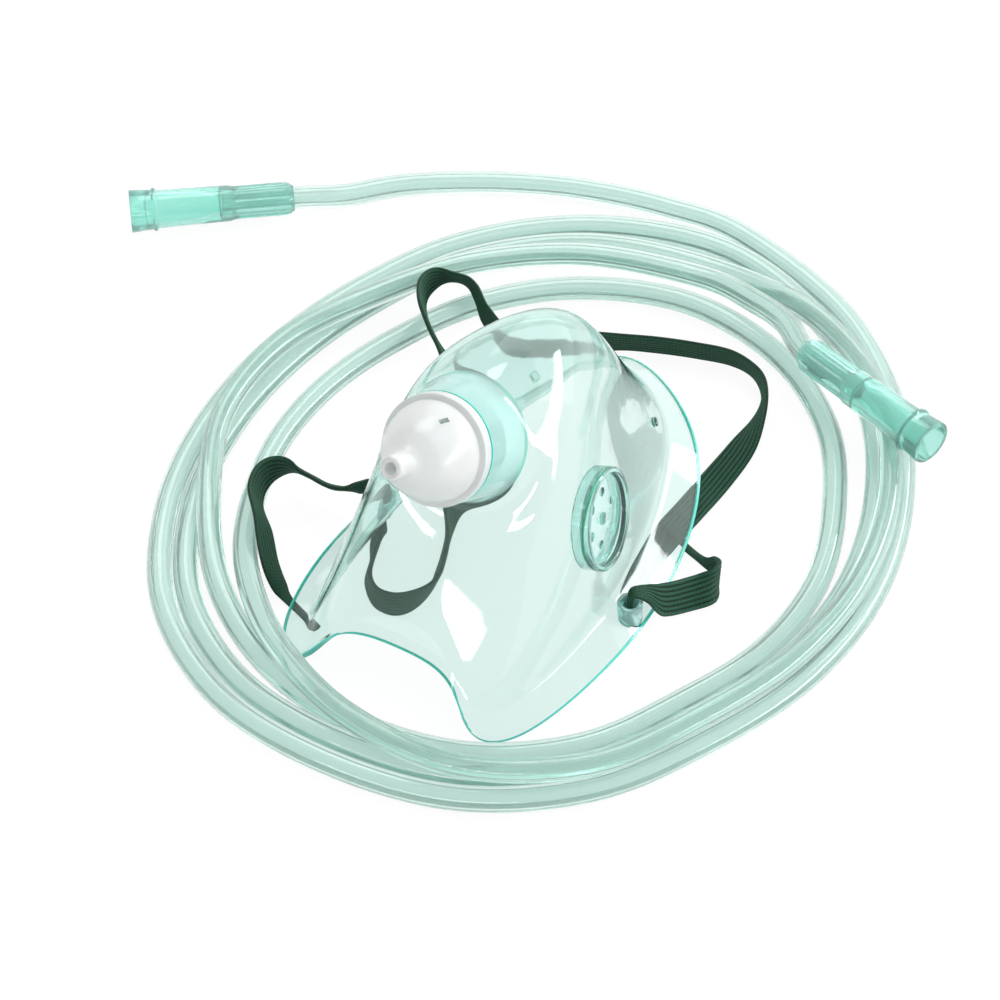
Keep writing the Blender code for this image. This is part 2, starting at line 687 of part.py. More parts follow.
mask = make_body()
lift = -surface_of(mask)[1]
mask.location.z = lift
mask_surface, _ = surface_of(mask)
add_vents(mask, mask_surface)
add_eyelets(mask, mask_surface)
add_pips(mask, mask_surface)
make_adapter(lift)
make_strap()
make_tube()
make_connector("supply_end_connector", SUPPLY_MOUTH, SUPPLY_GRIP)
make_connector("patient_end_connector", PATIENT_MOUTH, PATIENT_GRIP)

# The frame's origin is under the middle of the mask with its adapter.
for obj in [*parts.objects, *cutters.objects]:
    obj.location.y += FRAME_SHIFT
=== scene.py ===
# %% [markdown]
# # Oxygen face mask with its supply tube
# The object is a soft clear mask for a patient on a ward. It lies open side down on a white table,
# with its elastic head strap looped round it and the supply tube coiled loosely about it.
# The CAD model gives the place and size of every piece. This lesson dresses those pieces: it makes
# each form again with a smoother surface, and gives it the plastic or the elastic it is made of.
# All drawn numbers are in millimetres, and one helper turns them into metres in the CAD frame.

# %% Load the frame and keep its size
import math

import bmesh
import bpy
from mathutils import Matrix, Vector
from mathutils.bvhtree import BVHTree
from mathutils.kdtree import KDTree


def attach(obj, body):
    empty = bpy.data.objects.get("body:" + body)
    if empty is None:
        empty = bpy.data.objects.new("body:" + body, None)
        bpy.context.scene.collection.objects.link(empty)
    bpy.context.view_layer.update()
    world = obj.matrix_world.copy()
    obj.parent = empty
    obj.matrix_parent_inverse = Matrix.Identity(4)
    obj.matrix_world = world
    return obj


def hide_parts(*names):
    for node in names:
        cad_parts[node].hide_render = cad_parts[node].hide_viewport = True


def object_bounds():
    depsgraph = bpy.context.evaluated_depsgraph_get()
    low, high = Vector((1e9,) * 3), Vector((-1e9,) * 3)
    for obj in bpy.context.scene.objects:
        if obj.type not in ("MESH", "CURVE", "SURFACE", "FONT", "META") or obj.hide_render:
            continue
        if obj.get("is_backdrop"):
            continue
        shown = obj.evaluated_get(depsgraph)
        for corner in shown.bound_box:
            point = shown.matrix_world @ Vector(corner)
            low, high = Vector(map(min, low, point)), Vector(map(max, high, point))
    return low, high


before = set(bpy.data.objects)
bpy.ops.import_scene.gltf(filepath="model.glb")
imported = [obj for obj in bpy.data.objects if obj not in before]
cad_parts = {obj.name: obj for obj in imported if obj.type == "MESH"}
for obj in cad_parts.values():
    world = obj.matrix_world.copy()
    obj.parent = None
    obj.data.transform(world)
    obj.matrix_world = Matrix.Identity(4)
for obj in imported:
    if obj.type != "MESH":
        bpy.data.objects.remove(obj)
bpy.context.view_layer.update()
MM = 0.001
FRAME_SHIFT = 4.4


def at(x, y, z):
    """A drawn place in millimetres, as a place in the CAD frame in metres."""
    return Vector((x, y + FRAME_SHIFT, z)) * MM


# %% [markdown]
# ## The camera
# The photograph looks down at about 47 degrees, from the chin side and a little to the right, with
# a long lens. A long lens is a narrow one: 120 mm on a 36 mm wide sensor, 0.8 m away. The small
# shift moves the picture without turning the camera, so upright lines stay as they were.

# %% Camera
VIEW_DOWN = math.radians(47)
VIEW_ROUND = math.radians(30)
VIEW_AIM = (-3.7, 10, 0)
VIEW_AWAY = 0.8
towards_viewer = Vector((
    math.sin(VIEW_ROUND) * math.cos(VIEW_DOWN),
    -math.cos(VIEW_ROUND) * math.cos(VIEW_DOWN),
    math.sin(VIEW_DOWN),
))
lens = bpy.data.cameras.new("studio_camera")
lens.sensor_width = 36
lens.lens = 120
lens.shift_x = -0.031
lens.shift_y = 0.013
lens.clip_start = 0.01
camera = bpy.data.objects.new("studio_camera", lens)
bpy.context.scene.collection.objects.link(camera)
camera.location = at(*VIEW_AIM) + towards_viewer * VIEW_AWAY
camera.rotation_euler = towards_viewer.to_track_quat("Z", "Y").to_euler()
bpy.context.scene.camera = camera
bpy.context.scene.view_settings.view_transform = "Standard"
print("camera at", [round(v, 3) for v in camera.location])

# %% [markdown]
# ## Smooth routes
# The tube and the strap are both drawn by a few given places, which a smooth curve joins. This
# curve goes through every place and leaves each one in the direction of its two neighbours, so a
# list of points gives a line with no corners in it.

# %% A smooth curve through chosen places
def between(before, start, end, after, share):
    """A number part of the way from start to end, on the smooth curve through all four."""
    bend = 2 * before - 5 * start + 4 * end - after
    twist = 3 * start - before - 3 * end + after
    return 0.5 * (2 * start + (end - before) * share + bend * share ** 2 + twist * share ** 3)


def smooth_route(rows, spacing):
    """Rows of numbers along the smooth curve through the rows given, about one spacing apart."""
    padded = [rows[0], *rows, rows[-1]]
    route = []
    for four in zip(padded, padded[1:], padded[2:], padded[3:]):
        pieces = max(1, round(math.dist(four[1][:3], four[2][:3]) / spacing))
        for piece in range(pieces):
            route.append(tuple(between(*values, piece / pieces) for values in zip(*four)))
    return route + [tuple(rows[-1])]


def length_of(route):
    """How long a route of places is, in the unit of its places."""
    return sum(math.dist(a[:3], b[:3]) for a, b in zip(route, route[1:]))


# %% [markdown]
# ## The supply tube
# The tube is soft clear PVC, 6 mm across, extruded with a star-shaped bore so that a kink can't
# close it. It lies in four loose turns on the table, and a turn that crosses another rises over it.
# The coil is written as a radius and a height at every 30 degrees about its middle, clockwise from
# the far side. The free tail at the start and the short lead at the end are given point by point.

# %% Where the tube lies
LOW = 3.1
HIGH = 9.2
COIL_MIDDLE = (-4, 9)
COIL_STATIONS = [
    (111.0, LOW), (99.7, LOW), (89.3, LOW), (84.0, LOW), (82.4, LOW), (88.8, LOW),
    (89.9, LOW), (91.5, LOW), (86.2, LOW), (83.0, LOW), (87.0, LOW), (98.3, LOW),
    (103.6, LOW), (93.2, LOW), (83.0, LOW), (77.8, LOW), (76.2, LOW), (82.6, LOW),
    (83.7, LOW), (85.3, LOW), (80.0, LOW), (76.8, LOW), (80.8, LOW), (92.0, LOW),
    (96.0, LOW), (93.0, HIGH), (86.2, 8.7), (80.9, 8.5), (79.3, 8.5), (85.7, 8.7),
    (80.5, HIGH), (72.0, 8.2), (66.2, LOW), (64.2, LOW), (66.2, LOW), (74.6, LOW),
    (81.6, LOW), (79.8, LOW), (73.3, LOW), (71.6, LOW), (70.0, LOW), (76.4, LOW),
    (77.4, LOW), (77.2, LOW), (76.0, 7.6), (79.5, HIGH), (77.5, HIGH), (84.5, 7.0),
    (88.5, 6.5),
]
SUPPLY_MOUTH = (-145, 45.4, 6.0)
SUPPLY_GRIP = (-111.3, 72.4, 5.0)
TUBE_TAIL = [
    (-101.5, 81.5, 3.2), (-91, 92, 3.1), (-78, 101, 3.1), (-62, 109.5, 3.1), (-46, 115.5, 3.1),
    (-26, 119.6, 3.1),
]
TUBE_LEAD = [(14, 92.5, 10.2), (25.5, 85.5, 14.4)]
PATIENT_GRIP = (35.5, 76.5, 16.8)
PATIENT_MOUTH = (74.3, 63.0, 18.0)
TUBE_WIDE = 6.0
TUBE_INSERTION = 19.0
STATION_TURN = 30
COIL_STEP = 20
TUBE_SPACING = 2.5

coil = []
last = len(COIL_STATIONS) - 1
for step in range(0, last * STATION_TURN + 1, COIL_STEP):
    first = min(step // STATION_TURN, last - 1)
    near = [COIL_STATIONS[min(max(first + k, 0), last)] for k in (-1, 0, 1, 2)]
    share = step / STATION_TURN - first
    radius = between(*[station[0] for station in near], share)
    height = max(LOW, between(*[station[1] for station in near], share))
    turn = math.radians(90 - step)
    right = COIL_MIDDLE[0] + radius * math.cos(turn)
    back = COIL_MIDDLE[1] + radius * math.sin(turn)
    coil.append((right, back, height))


def inside_grip(mouth, grip):
    """The place where the tube's end stops inside a connector."""
    return tuple(Vector(grip) + (Vector(mouth) - Vector(grip)).normalized() * TUBE_INSERTION)


tube_places = [inside_grip(SUPPLY_MOUTH, SUPPLY_GRIP), SUPPLY_GRIP, *TUBE_TAIL, *coil, *TUBE_LEAD]
tube_places += [PATIENT_GRIP, inside_grip(PATIENT_MOUTH, PATIENT_GRIP)]
tube_route = [at(*place) for place in smooth_route(tube_places[::-1], TUBE_SPACING)]
print("tube", round(length_of(tube_route), 3), "m along", len(tube_route), "points")

# %% [markdown]
# ### One sheet, rolled up
# A tube and a strap are both a section carried along a route. A flat grid does it: its rows are the
# steps of the route and its columns go round the section. Each corner of the grid is moved to its
# place, the two long sides are merged, and the grid's own UV map stays on it, unrolled, which a
# pattern that follows the piece can use later.

# %% Roll a grid along a route
# Corners nearer than this, in metres, are one corner
DOUBLES = 0.000002


def rolled(bm, steps, columns, place):
    """A closed skin: place(step, column) gives the place of each corner of a grid."""
    bm.loops.layers.uv.verify()
    made = bmesh.ops.create_grid(bm, x_segments=steps, y_segments=columns, size=0.5, calc_uvs=True)
    for corner in made["verts"]:
        step = round((corner.co.x + 0.5) * steps)
        column = round((corner.co.y + 0.5) * columns)
        corner.co = place(step, column % columns)


def frames_along(route):
    """At each point of a route: the point, and two directions across it that never twist."""
    side = Vector((0, 0, 1))
    found = []
    for index, point in enumerate(route):
        ahead = (route[min(index + 1, len(route) - 1)] - route[max(index - 1, 0)]).normalized()
        side = (side - ahead * side.dot(ahead)).normalized()
        found.append((point, side, ahead.cross(side)))
    return found


def mesh_of(name, make):
    """A mesh that make(bm) builds, with doubles merged and every face turned outwards."""
    mesh = bpy.data.meshes.new(name)
    bm = bmesh.new()
    make(bm)
    bmesh.ops.remove_doubles(bm, verts=bm.verts, dist=DOUBLES)
    bmesh.ops.recalc_face_normals(bm, faces=bm.faces)
    bm.to_mesh(mesh)
    bm.free()
    return mesh


def add_piece(name, mesh, stands_for, sharp):
    """An object of the model on the one body: smooth, apart from edges over sharp degrees."""
    mesh.shade_smooth()
    mesh.set_sharp_from_angle(angle=math.radians(sharp))
    piece = bpy.data.objects.new(name, mesh)
    bpy.context.scene.collection.objects.link(piece)
    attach(piece, "root")
    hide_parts(stands_for)
    print(name, len(mesh.polygons), "faces")
    return piece


# %% [markdown]
# ### The tube's wall
# Only the wall of the tube is plastic, so it has two skins: a round one outside and a six-pointed
# star inside, which turns into fine bright and dark lines along the tube when light bends in it.
# Both are rolled along the same route, and a ring of faces closes each cut end.

# %% The tube
OUTER_COLUMNS = 24
BORE = 1.4
STAR_DEPTH = 0.12


def make_tube_wall(bm):
    frames = frames_along(tube_route)
    steps = len(frames) - 1

    def skin(radius_at):
        def place(step, column):
            point, up, across = frames[step]
            angle = math.tau * column / OUTER_COLUMNS
            radius = radius_at(column) * MM
            return point + up * (radius * math.cos(angle)) + across * (radius * math.sin(angle))
        return place

    rolled(bm, steps, OUTER_COLUMNS, skin(lambda column: TUBE_WIDE / 2))
    # Every fourth of the 24 columns is a point of the star
    rolled(bm, steps, OUTER_COLUMNS, skin(lambda column: BORE + STAR_DEPTH * math.cos(math.pi * column / 2)))
    bmesh.ops.remove_doubles(bm, verts=bm.verts, dist=DOUBLES)
    rims = [edge for edge in bm.edges if edge.is_boundary]
    for end in (tube_route[0], tube_route[-1]):
        near = [edge for edge in rims if (edge.verts[0].co - end).length < TUBE_WIDE * MM]
        bmesh.ops.bridge_loops(bm, edges=near)


tube_mesh = mesh_of("supply_tube", make_tube_wall)
tube = add_piece("supply_tube", tube_mesh, "oxygen_tube", sharp=60)

# %% [markdown]
# ## The elastic strap
# The strap is one flat band of elastic, 8 mm wide, with seven ribs. Both of its ends narrow to a thin
# stem, and it is threaded down through the eyelets of the mask. Each row of the list is a place, the
# direction of the band's width there, and its width as a share.

# %% Where the strap lies
STRAP_WIDE = 8.0
STRAP_SPACING = 1.0
UPRIGHT = (0, 0, 1)
ACROSS = (1, 0, 0)
LEANING = (-0.37, 0.63, 0.68)
TIPPED = (0, -0.32, 0.95)
THIN = (0.3, -0.58, 0.76)
STRAP_ROUTE = [
    ((28, 20, 2.0), (0.3, 1, 0), 0.25), ((34, 18, 1.0), (0.3, 1, 0), 0.25),
    ((40, 15.5, 1.8), (0.3, 0.9, 0.4), 0.28), ((43.5, 14.3, 3.2), (0.1, 0.3, 1), 0.6),
    ((46, 11.5, 4.1), (0, 0.1, 1), 1), ((46, 7, 4.0), LEANING, 1), ((43, 3, 3.8), LEANING, 1),
    ((39.5, -3, 5.8), LEANING, 1), ((37.2, -7, 10.4), (-0.5, 0.8, 0.3), 0.6),
    ((34.8, -9.6, 11.9), (-0.6, 0.8, 0), 0.42), ((34.2, -10, 8.5), (-0.6, 0.8, 0), 0.4),
    ((34.2, -10, 3.0), (-0.1, 1, 0), 0.38), ((34.0, -9.8, 1.0), (0.5, 0.85, 0), 0.38),
    ((31.5, -6.5, 0.6), (0.8, 0.6, 0), 0.6), ((28, 6, 0.7), ACROSS, 1), ((28, 17, 0.7), ACROSS, 1),
    ((29, 28, 0.7), ACROSS, 1), ((30, 41, 0.7), ACROSS, 1), ((30.5, 53, 1.2), (0.95, 0, 0.25), 1),
    ((30, 63, 3.2), (0.5, 0, 0.85), 1), ((27.5, 71, 4.1), UPRIGHT, 1),
    ((22, 76, 4.1), TIPPED, 1), ((15, 77.4, 4.1), TIPPED, 1), ((6, 75.3, 4.1), TIPPED, 1),
    ((-3, 72.3, 4.1), TIPPED, 1), ((-12, 68.4, 4.1), TIPPED, 1), ((-20, 63.5, 4.1), UPRIGHT, 1),
    ((-28, 58.5, 4.1), UPRIGHT, 1), ((-37, 55.5, 4.5), UPRIGHT, 1), ((-44, 57.5, 6.8), UPRIGHT, 1),
    ((-49, 60.8, 9.9), (0.1, -0.2, 0.95), 1), ((-53.5, 62.5, 10.6), (0.2, -0.5, 0.85), 1),
    ((-58, 61.5, 10.7), (0.1, -0.45, 0.9), 1), ((-60.5, 58, 10.8), (-0.1, -0.1, 0.97), 1),
    ((-60.3, 53.5, 10.8), (-0.2, 0, 0.97), 1),
    ((-57, 48.2, 10.7), (-0.2, -0.1, 0.97), 1), ((-52, 44.2, 8.2), (-0.2, -0.2, 0.95), 1),
    ((-46, 41, 5.0), (-0.3, -0.4, 0.85), 1), ((-39.5, 37, 1.9), (-0.6, -0.7, 0.3), 1),
    ((-33, 32, 0.8), (-0.6, -0.8, 0), 1), ((-27, 23, 0.8), (-0.8, -0.5, 0.1), 1),
    ((-22.5, 11, 2.4), (-0.8, -0.4, 0.5), 1), ((-18.5, -2, 4.0), (-0.3, -0.15, 0.94), 1),
    ((-13.5, -13, 4.1), (0.25, -0.1, 0.95), 1), ((-10, -25, 4.1), (0.35, -0.1, 0.92), 1),
    ((-13, -33, 4.1), UPRIGHT, 1), ((-19, -34.5, 4.1), UPRIGHT, 1),
    ((-24.5, -30, 4.1), (0.3, -0.2, 0.92), 1),
    ((-28, -21.5, 4.0), (0.35, -0.1, 0.9), 0.9), ((-33.0, -12.6, 0.7), (0.5, 0.8, 0), 0.5),
    ((-34.2, -10.6, 1.2), (0.5, 0.8, 0), 0.4), ((-34.2, -10, 3.4), (0.5, 0.8, 0), 0.4),
    ((-34.2, -10, 8.5), (0.5, 0.8, 0), 0.4), ((-35.2, -10.6, 11.6), (0.3, 0.9, 0.2), 0.45),
    ((-37.3, -11.8, 11.2), (0.1, 0.3, 0.95), 0.45), ((-40.5, -12.8, 9.8), THIN, 0.65),
    ((-46, -13.2, 8.4), THIN, 1), ((-52, -12.6, 8.2), THIN, 1),
    ((-56.5, -13.3, 9.2), (-0.1, -0.5, 0.85), 1),
    ((-59.3, -16.5, 10.2), (-0.2, -0.3, 0.92), 1), ((-60, -21, 10.6), (-0.3, -0.1, 0.94), 1),
    ((-58, -26.5, 10.3), (-0.35, -0.1, 0.92), 1), ((-52.4, -32.1, 9.1), (-0.4, -0.2, 0.88), 1),
    ((-47, -38, 5.6), (-0.4, -0.3, 0.85), 1), ((-42.5, -41.5, 3.0), (-0.4, -0.6, 0.6), 0.7),
    ((-38, -43.5, 1.0), (-0.2, -1, 0), 0.28), ((-28, -47, 0.8), (-0.3, -1, 0), 0.25),
]
strap_rows = [(*place, *Vector(wide).normalized(), share) for place, wide, share in STRAP_ROUTE]
strap_rows = smooth_route(strap_rows, STRAP_SPACING)
strap_path = [at(*row[:3]) for row in strap_rows]
print("strap", round(length_of(strap_path), 3), "m along", len(strap_path), "points")

# %% [markdown]
# ### The ribs
# Seven ribs run along both faces of the band. The section goes across the front of the band and back
# across the other face. Its thickness is a thin core with a row of half rounds on it. Where the band
# narrows to a stem the ribs melt away, as pressed and heated elastic does.

# %% The strap
RIBS = 7
SECTION_COLUMNS = RIBS * 8 * 2
STRAP_CORE = 0.32
RIB_RISE = 0.30
TABLE_GAP = 0.00012


def make_strap(bm):
    steps = len(strap_rows) - 1
    half = SECTION_COLUMNS // 2

    def place(step, column):
        row = strap_rows[step]
        ahead = strap_path[min(step + 1, steps)] - strap_path[max(step - 1, 0)]
        wide = Vector(row[3:6])
        wide = (wide - ahead * wide.dot(ahead) / ahead.length_squared).normalized()
        deep = ahead.normalized().cross(wide)
        share = min(row[6], 1)
        front = column < half
        along = (column if front else SECTION_COLUMNS - column) / half
        edge = math.sqrt(max(0, math.sin(math.pi * along))) if share < 0.5 else 1
        rib = abs(math.sin(math.pi * RIBS * along))
        strength = min(max((share - 0.35) / 0.4, 0), 1)
        closing = min(1, 12 * min(along, 1 - along))
        thick = STRAP_CORE + RIB_RISE * rib * strength + RIB_RISE * (1 - strength) * edge
        thick *= closing ** 0.5
        across = (0.5 - along) * STRAP_WIDE * share
        spot = strap_path[step] + wide * (across * MM) + deep * ((thick if front else -thick) * MM)
        spot.z = max(spot.z, TABLE_GAP)
        return spot

    rolled(bm, steps, SECTION_COLUMNS, place)
    bmesh.ops.remove_doubles(bm, verts=bm.verts, dist=DOUBLES)
    bmesh.ops.holes_fill(bm, edges=[edge for edge in bm.edges if edge.is_boundary])


strap_mesh = mesh_of("head_strap", make_strap)
strap = add_piece("head_strap", strap_mesh, "elastic_strap", sharp=75)

# %% [markdown]
# ## The mask's shell
# The mask is moulded in one piece from clear vinyl: a soft flange that meets the face, a
# wall that rises to a rounded nose and chin, and a short neck for the inlet. A coarse cage of rings
# is the easiest start. Each ring is half an outline, from the middle of the chin round the cheek to
# the middle of the nose. The cage is mirrored, smoothed by subdivision and given its wall.

# %% The cage of the shell
FLANGE_EDGE = [
    (0, -51, 13), (16, -53, 14.5), (22.2, -60, 1.4), (33.2, -54.2, 1.4), (38.5, -30, 6.5),
    (38, 0, 0.5), (31.5, 29, 5), (18.5, 49, 10), (0, 49.5, 28),
]
FLANGE_FOLD = [
    (0, -49, 15.5), (14.5, -51, 17.5), (20.5, -56, 6), (28.5, -49, 6), (30.5, -27, 9),
    (29.5, -2, 8.5), (23, 22, 10), (12, 38, 19), (0, 42, 31),
]
FLANGE_SHARES = [0.33, 0.35, 0.6, 0.9, 0.9, 1.25, 1.1, 1.0, 0.7]
FLANGE_WIDE = 9.5
LOW_WALL = [
    (0, -47, 22), (11, -48.5, 21), (18.5, -50.5, 16), (26, -43, 17), (30.5, -25, 20),
    (29.5, -4, 22), (21, 17, 24), (11, 33, 31), (0, 38, 37),
]
HIGH_WALL = [
    (0, -41, 30), (9, -41.5, 29), (17, -41, 28), (23.5, -34, 32), (26.5, -21, 37),
    (25, -5, 40), (18, 12, 43.5), (9.5, 25, 49.5), (0, 30, 54),
]
SHOULDER = [
    (0, -35, 38), (8.5, -35, 38.5), (16, -33, 43), (20.5, -26, 50.5), (21.2, -17, 57),
    (18.7, -6, 62.5), (13.5, 4, 65.5), (7, 11.5, 68), (0, 14.5, 69),
]
NECK_FOOT = Vector((0, -22, 58))
NECK_TILT = math.radians(30)
NECK_AXIS = Vector((0, -math.cos(NECK_TILT), math.sin(NECK_TILT)))
NECK_WIDE = 25.4
NECK_LONG = 16.0
NECK_FILLET = 2.8
NECK_TAPER = 1.3
WALL = 1.3


def neck_ring(radius, along):
    """Half a ring about the neck, from its chin side round to its nose side."""
    to_chin = Vector((0, -math.sin(NECK_TILT), -math.cos(NECK_TILT)))
    middle = NECK_FOOT + NECK_AXIS * along
    turns = [math.pi * column / 8 for column in range(9)]
    return [middle + radius * (math.sin(a) * Vector((1, 0, 0)) + math.cos(a) * to_chin) for a in turns]


fold = []
for low, high, share in zip(FLANGE_EDGE, FLANGE_FOLD, FLANGE_SHARES):
    low = Vector(low)
    fold.append(low + (Vector(high) - low).normalized() * FLANGE_WIDE * share)
shrink = (4 + 2 * math.cos(math.pi / 8)) / 6
neck = NECK_WIDE / 2 / shrink
cage = [
    FLANGE_EDGE, fold, LOW_WALL, HIGH_WALL, SHOULDER, neck_ring(neck + NECK_FILLET + NECK_TAPER, 0),
    neck_ring(neck + NECK_TAPER, NECK_FILLET), neck_ring(neck + NECK_TAPER * 0.6, NECK_LONG * 0.6),
    neck_ring(neck, NECK_LONG),
]
print("cage of", len(cage), "rings of", len(cage[0]), "corners in each half")

# %% [markdown]
# ### From cage to shell
# The half cage is a grid of 8 by 8 faces whose corners are moved to the rings. A light crease keeps
# the fold between flange and wall crisp. So soft a moulding never lies quite straight: its chin has
# swung 3 mm to one side and its nose 2.5 mm to the other, and the cage is leant that way. The wall,
# the cut edge, the collar and the vents look different, so each gets a finish of its own later; the
# cut edge's is a painted glow. Until then a face only carries the number of its finish, in an empty slot.

# %% The shell
CHIN_SWING = -3.0
NOSE_SWING = 2.5
CAGE_CREASES = ((1, 0.5), (4, 0.2))
FINISHES = ("wall", "cut edge", "collar", "vent")
EDGE_GLOW_FINISH = 1
COLLAR_FINISH = 2
VENT_FINISH = 3


def eased(value, start, end):
    """Rises smoothly from 0 at start to 1 at end."""
    share = min(max((value - start) / (end - start), 0), 1)
    return share * share * (3 - 2 * share)


def swing(y, z):
    """How far the soft mask leans sideways, at its chin and at its nose."""
    chin = CHIN_SWING * eased(-y, 35, 55) * (1 - eased(z, 18, 38))
    nose = NOSE_SWING * eased(y, 12, 40) * (1 - eased(z, 30, 55))
    return chin + nose


def make_half_cage(bm):
    made = bmesh.ops.create_grid(bm, x_segments=8, y_segments=8, size=0.5)
    for corner in made["verts"]:
        column = round((corner.co.x + 0.5) * 8)
        ring = round((corner.co.y + 0.5) * 8)
        corner.co = at(*cage[ring][column])
    crease = bm.edges.layers.float.new("crease_edge")
    for ring, strength in CAGE_CREASES:
        spots = [at(*corner) for corner in cage[ring]]
        for edge in bm.edges:
            if all(min((end.co - spot).length for spot in spots) < 1e-6 for end in edge.verts):
                edge[crease] = strength
    bmesh.ops.mirror(bm, geom=bm.verts[:] + bm.edges[:] + bm.faces[:], axis="X", merge_dist=0.00001)
    for corner in bm.verts:
        corner.co.x += swing(corner.co.y / MM - FRAME_SHIFT, corner.co.z / MM) * MM


def finished(item):
    """The object's mesh as its modifiers leave it. The object itself is then removed."""
    bpy.context.view_layer.update()
    graph = bpy.context.evaluated_depsgraph_get()
    mesh = bpy.data.meshes.new_from_object(item.evaluated_get(graph))
    bpy.data.objects.remove(item, do_unlink=True)
    return mesh


def helper(name, mesh):
    """An object that only a modifier needs, for as long as the piece is being made."""
    item = bpy.data.objects.new(name, mesh)
    bpy.context.scene.collection.objects.link(item)
    return item


shell = helper("shell", mesh_of("shell", make_half_cage))
smooth = shell.modifiers.new("Soft form", "SUBSURF")
smooth.levels = 4
smooth.render_levels = 4
shell = helper("shell", finished(shell))
for finish in FINISHES:
    shell.data.materials.append(None)
thick = shell.modifiers.new("Wall", "SOLIDIFY")
thick.thickness = WALL * MM
thick.offset = -1
# The rim's faces take the cut edge's painted glow
thick.material_offset_rim = EDGE_GLOW_FINISH
shell_mesh = finished(shell)

# %% [markdown]
# ### The cut edge
# The cut edge of a clear sheet shows its tint most, because light that runs inside the sheet comes
# out there. That light is painted here: the edge gets a teal colour that mostly scatters, a painted
# glow. The rim's own faces are only as wide as the wall is thick, so the last 0.8 mm beside the cut
# gets the painted glow too. The lowest point of the shell rests on the table, so the shell is then
# lifted by whatever it would sink.

# %% The painted glow of the cut edge
EDGE_GLOW = 0.8
cut_faces = [face for face in shell_mesh.polygons if face.material_index == EDGE_GLOW_FINISH]
cut_places = KDTree(len(cut_faces))
for index, face in enumerate(cut_faces):
    cut_places.insert(face.center, index)
cut_places.balance()
# Painted glow: faces this close to the cut take the cut edge's teal colour too
for face in shell_mesh.polygons:
    if cut_places.find(face.center)[2] < EDGE_GLOW * MM:
        face.material_index = EDGE_GLOW_FINISH
print("cut edge of", len(cut_faces), "faces")
lift = -min(vertex.co.z for vertex in shell_mesh.vertices)
shell_mesh.transform(Matrix.Translation((0, 0, lift)))
print("shell of", len(shell_mesh.polygons), "faces, lifted", round(lift / MM, 2), "mm")

# %% [markdown]
# ## Turned forms
# The vents, the eyelets, the inlet and both connectors are round. Each is a half section that a spin
# turns about the Z axis. Corners are then broken by a small bevel, because a moulding has no knife
# edges and the thin line of light on each edge is what makes plastic read as real.

# %% Turn a half section
def turned(name, section, steps, closed=True, soften=0.12, shape=None):
    """A body turned about Z: section is its half outline, as radius and height in millimetres."""
    def make(bm):
        corners = [bm.verts.new((radius * MM, 0, height * MM)) for radius, height in section]
        ends = list(zip(corners, corners[1:]))
        if closed:
            ends.append((corners[-1], corners[0]))
        for pair in ends:
            bm.edges.new(pair)
        bmesh.ops.spin(
            bm, geom=bm.verts[:] + bm.edges[:], cent=(0, 0, 0), axis=(0, 0, 1), dvec=(0, 0, 0),
            angle=math.tau, steps=steps, use_merge=True, use_duplicate=False,
        )
        bmesh.ops.remove_doubles(bm, verts=bm.verts, dist=DOUBLES)
        if soften:
            bmesh.ops.recalc_face_normals(bm, faces=bm.faces)
            sharp = [e for e in bm.edges if e.is_manifold and e.calc_face_angle() > math.radians(40)]
            bmesh.ops.bevel(
                bm, geom=sharp, offset=soften * MM, offset_type="OFFSET", segments=2, profile=0.5,
                affect="EDGES", clamp_overlap=True, material=-1,
            )
        if shape:
            for corner in bm.verts:
                shape(corner)

    return mesh_of(name, make)


def stood(mesh, place, direction):
    """Moves a mesh so that its own Z axis stands along a direction at a place."""
    turn = direction.to_track_quat("Z", "Y").to_matrix().to_4x4()
    mesh.transform(Matrix.Translation(place) @ turn)
    return mesh


def joined(name, meshes):
    """Several closed meshes as one, for one cut or join."""
    bm = bmesh.new()
    for mesh in meshes:
        bm.from_mesh(mesh)
    mesh = bpy.data.meshes.new(name)
    bm.to_mesh(mesh)
    bm.free()
    return mesh


def combined(mesh, other, operation):
    """A mesh after an exact Boolean with another."""
    item = helper("work", mesh)
    tool = helper("tool", other)
    step = item.modifiers.new("Combine", "BOOLEAN")
    step.operation = operation
    step.solver = "EXACT"
    step.object = tool
    result = finished(item)
    bpy.data.objects.remove(tool, do_unlink=True)
    return result


# %% [markdown]
# ### Vents, eyelets and pips
# Each cheek has a round vent: a raised rim about a sunk plate with six holes and a stud. Air that is
# breathed out leaves there. On the flange, a short upright eyelet takes the strap on each side, and a
# small pip is left by the mould beside the nose. Their places are found by casting a ray on the shell.

# %% Vents, eyelets and pips
VENT_WIDE = 24.0
VENT_RIM = 1.3
VENT_HEIGHT = 30.0
VENT_BACK = -7.0
VENT_HOLES = 6
HOLE_RADIUS = 1.1
HOLE_RING = 0.58
EYELET_OUT = 34.2
EYELET_BACK = -10.0
EYELET = [(2.05, 4.0), (3.0, 4.0), (3.0, -2.1), (2.05, -2.1)]
EYELET_WINDOW = 2.5
PIP_SPOT = (16.5, 33)
PIP = [(0, 1.2), (0.8, 1.1), (1.2, 0.7), (1.2, -1.2), (0, -1.2)]
COLLAR_STARTS = 2.2
COLLAR_REACH = 0.62
FAR = 1000


def cylinder(radius, depth, steps):
    """A plain round cutter about the origin."""
    section = [(0, depth / 2), (radius, depth / 2), (radius, -depth / 2), (0, -depth / 2)]
    return turned("cutter", section, steps, closed=False, soften=0)


